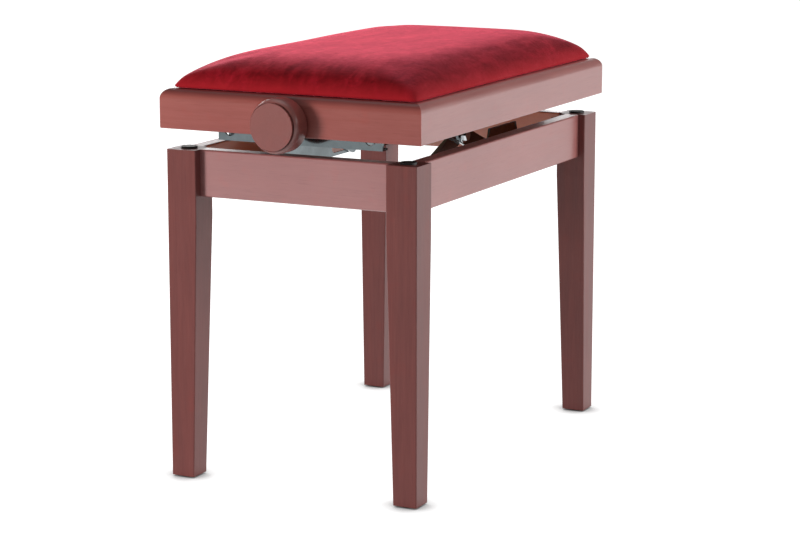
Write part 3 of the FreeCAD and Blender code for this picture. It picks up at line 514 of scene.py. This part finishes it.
def spindle_thread():
    """The spindle with its trapezoidal thread between the collars, plain at both ends."""
    low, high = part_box("threaded_spindle")
    collar_low, collar_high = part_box("spindle_collars")
    y, z = (low.y + high.y) / 2, (low.z + high.z) / 2
    radius = (high.z - low.z) / 2
    start, end = collar_low.x + THREAD_INSET, collar_high.x - THREAD_INSET
    turns = int((end - start) / THREAD_PITCH)
    # shares of a pitch: the root, its flank up to the crest, and the crest
    profile = [(0.0, THREAD_ROOT), (0.30, THREAD_ROOT), (0.40, radius), (0.90, radius)]
    mesh = bmesh.new()

    def point(x, size, side):
        angle = 2 * math.pi * side / THREAD_SIDES
        return mesh.verts.new((x, y + size * math.cos(angle), z + size * math.sin(angle)))

    def ring(x, size):
        return [point(x, size, side) for side in range(THREAD_SIDES)]

    def skin(first, second):
        for side in range(THREAD_SIDES):
            following = (side + 1) % THREAD_SIDES
            mesh.faces.new((first[following], second[following], second[side], first[side]))

    def helix_row(turn, share, size):
        """One row of points that climbs by a pitch in a full turn."""
        return [point(start + (turn + share + side / THREAD_SIDES) * THREAD_PITCH, size, side)
                for side in range(THREAD_SIDES)]

    rows = [helix_row(turn, share, size) for turn in range(turns) for share, size in profile]
    for first, second in zip(rows, rows[1:]):
        for side in range(THREAD_SIDES - 1):
            mesh.faces.new((first[side + 1], second[side + 1], second[side], first[side]))
    # the last column of a row meets the first column of the row one turn further on
    step = len(profile)
    for index in range(len(rows) - step - 1):
        mesh.faces.new((rows[index + step][0], rows[index + step + 1][0], rows[index + 1][-1],
                        rows[index][-1]))
    for left, right in ((low.x, start + THREAD_PITCH), (end - THREAD_PITCH, high.x)):
        first, second = ring(left, radius * PLAIN_SHARE), ring(right, radius * PLAIN_SHARE)
        skin(first, second)
        mesh.faces.new(first[::-1])
        mesh.faces.new(second)
    new_piece("spindle_thread", mesh, bright_steel, "spindle", "bright_steel", "threaded_spindle")


spindle_thread()

# ---- stage, light and camera -------------------------------------------------------------

scene = bpy.context.scene
scene.view_settings.view_transform = "Standard"
FLOOR_GLOW = 1.0
WORLD_LIGHT = 0.24
# the round wall, in metres, and the floor's reach beyond it
STAGE_RADIUS, STAGE_HEIGHT, STAGE_MARGIN = 28, 20, 2
STAGE_SIDES = 48
# a shadow is painted into the floor's glow within this distance of the feet, the more steeply the
# higher the power
CONTACT_REACH, CONTACT_POWER = 30 * MM, 1.6
# each lamp's name, place, width and height, watts, and whether it shows in reflections
LAMPS = (
    ("key", (-2.2, 1.35, 0.6), (0.6, 0.6), 42, False),
    ("side", (1.3, -2.6, 0.9), (2.4, 1.4), 62, True),
    ("back", (1.7, 2.3, 1.2), (1.4, 1.0), 40, True),
    ("top", (0.2, 0.3, 2.6), (1.6, 1.6), 7, True),
    ("rear_left", (4.0, 3.2, 1.15), (1.3, 1.2), 8, True),
    ("rear_right", (4.0, 0.9, 1.0), (1.1, 1.0), 8, True),
)
LAMP_TARGET = (0, 0, 0.40)
CAMERA_PLACE = (-2.8056, -1.4009, 0.8429)
CAMERA_YAW, CAMERA_PITCH = math.radians(-63.635), math.radians(-11.049)
CAMERA_LENS, CAMERA_SENSOR, CAMERA_REACH = 111.54, 36.0, 100


def stage_piece(name, points, faces, material):
    """Enter a piece of the stage that lights nothing by itself."""
    data = bpy.data.meshes.new(name)
    data.from_pydata(points, [], faces)
    data.materials.append(material)
    piece = bpy.data.objects.new(name, data)
    scene.collection.objects.link(piece)
    piece.visible_diffuse = False
    return piece


def floor():
    """A pale floor that stays bright, with a soft contact shadow painted into its glow under the
    feet.
    """
    graph = Graph("pale_floor")
    contact = graph.add("ShaderNodeAmbientOcclusion", samples=12)
    contact.inputs["Distance"].default_value = CONTACT_REACH
    shade = graph.math("POWER", contact.outputs["AO"], CONTACT_POWER)
    glow = graph.math("MULTIPLY", shade, FLOOR_GLOW)
    graph.link(glow, graph.shader.inputs["Emission Strength"])
    graph.set(Base_Color=(0.3, 0.3, 0.3, 1), Roughness=0.7, Specular_IOR_Level=0.1,
              Emission_Color=(1, 1, 1, 1))
    reach = STAGE_RADIUS + STAGE_MARGIN
    points = [(-reach, -reach, 0), (reach, -reach, 0), (reach, reach, 0), (-reach, reach, 0)]
    stage_piece("floor", points, [(0, 1, 2, 3)], graph.material)


def backdrop():
    """A distant white wall all round, which only the camera sees."""
    graph = Graph("pale_wall")
    graph.set(Base_Color=(0, 0, 0, 1), Specular_IOR_Level=0.0, Emission_Color=(1, 1, 1, 1),
              Emission_Strength=FLOOR_GLOW)
    count = STAGE_SIDES
    angles = [2 * math.pi * index / count for index in range(count)]
    points = [(STAGE_RADIUS * math.cos(angle), STAGE_RADIUS * math.sin(angle), z)
              for z in (0, STAGE_HEIGHT) for angle in angles]
    faces = [(index, (index + 1) % count, count + (index + 1) % count, count + index)
             for index in range(count)]
    wall = stage_piece("backdrop", points, faces, graph.material)
    wall.visible_glossy = wall.visible_shadow = wall.visible_transmission = False


def world():
    """Even white light from all round."""
    sky = bpy.data.worlds.new("studio")
    scene.world = sky
    sky.use_nodes = True
    background = sky.node_tree.nodes["Background"]
    background.inputs["Color"].default_value = (*WHITE, 1.0)
    background.inputs["Strength"].default_value = WORLD_LIGHT


def area_light(name, place, size, power, shines):
    """A soft box that faces the bench and that the camera doesn't see."""
    data = bpy.data.lights.new(name, "AREA")
    data.shape = "RECTANGLE"
    data.size, data.size_y = size
    data.energy = power
    lamp = bpy.data.objects.new(name, data)
    scene.collection.objects.link(lamp)
    lamp.location = place
    lamp.visible_glossy = shines
    lamp.visible_camera = False
    direction = Vector(LAMP_TARGET) - Vector(place)
    lamp.rotation_euler = direction.to_track_quat("-Z", "Y").to_euler()


def camera():
    """The viewpoint in front of the left end, slightly above the seat."""
    data = bpy.data.cameras.new("camera")
    data.lens = CAMERA_LENS
    data.sensor_width = CAMERA_SENSOR
    data.clip_end = CAMERA_REACH
    eye = bpy.data.objects.new("camera", data)
    scene.collection.objects.link(eye)
    eye.location = CAMERA_PLACE
    eye.rotation_euler = Euler((math.pi / 2 + CAMERA_PITCH, 0, CAMERA_YAW), "XYZ")
    scene.camera = eye


floor()
backdrop()
world()
for lamp in LAMPS:
    area_light(*lamp)
camera()
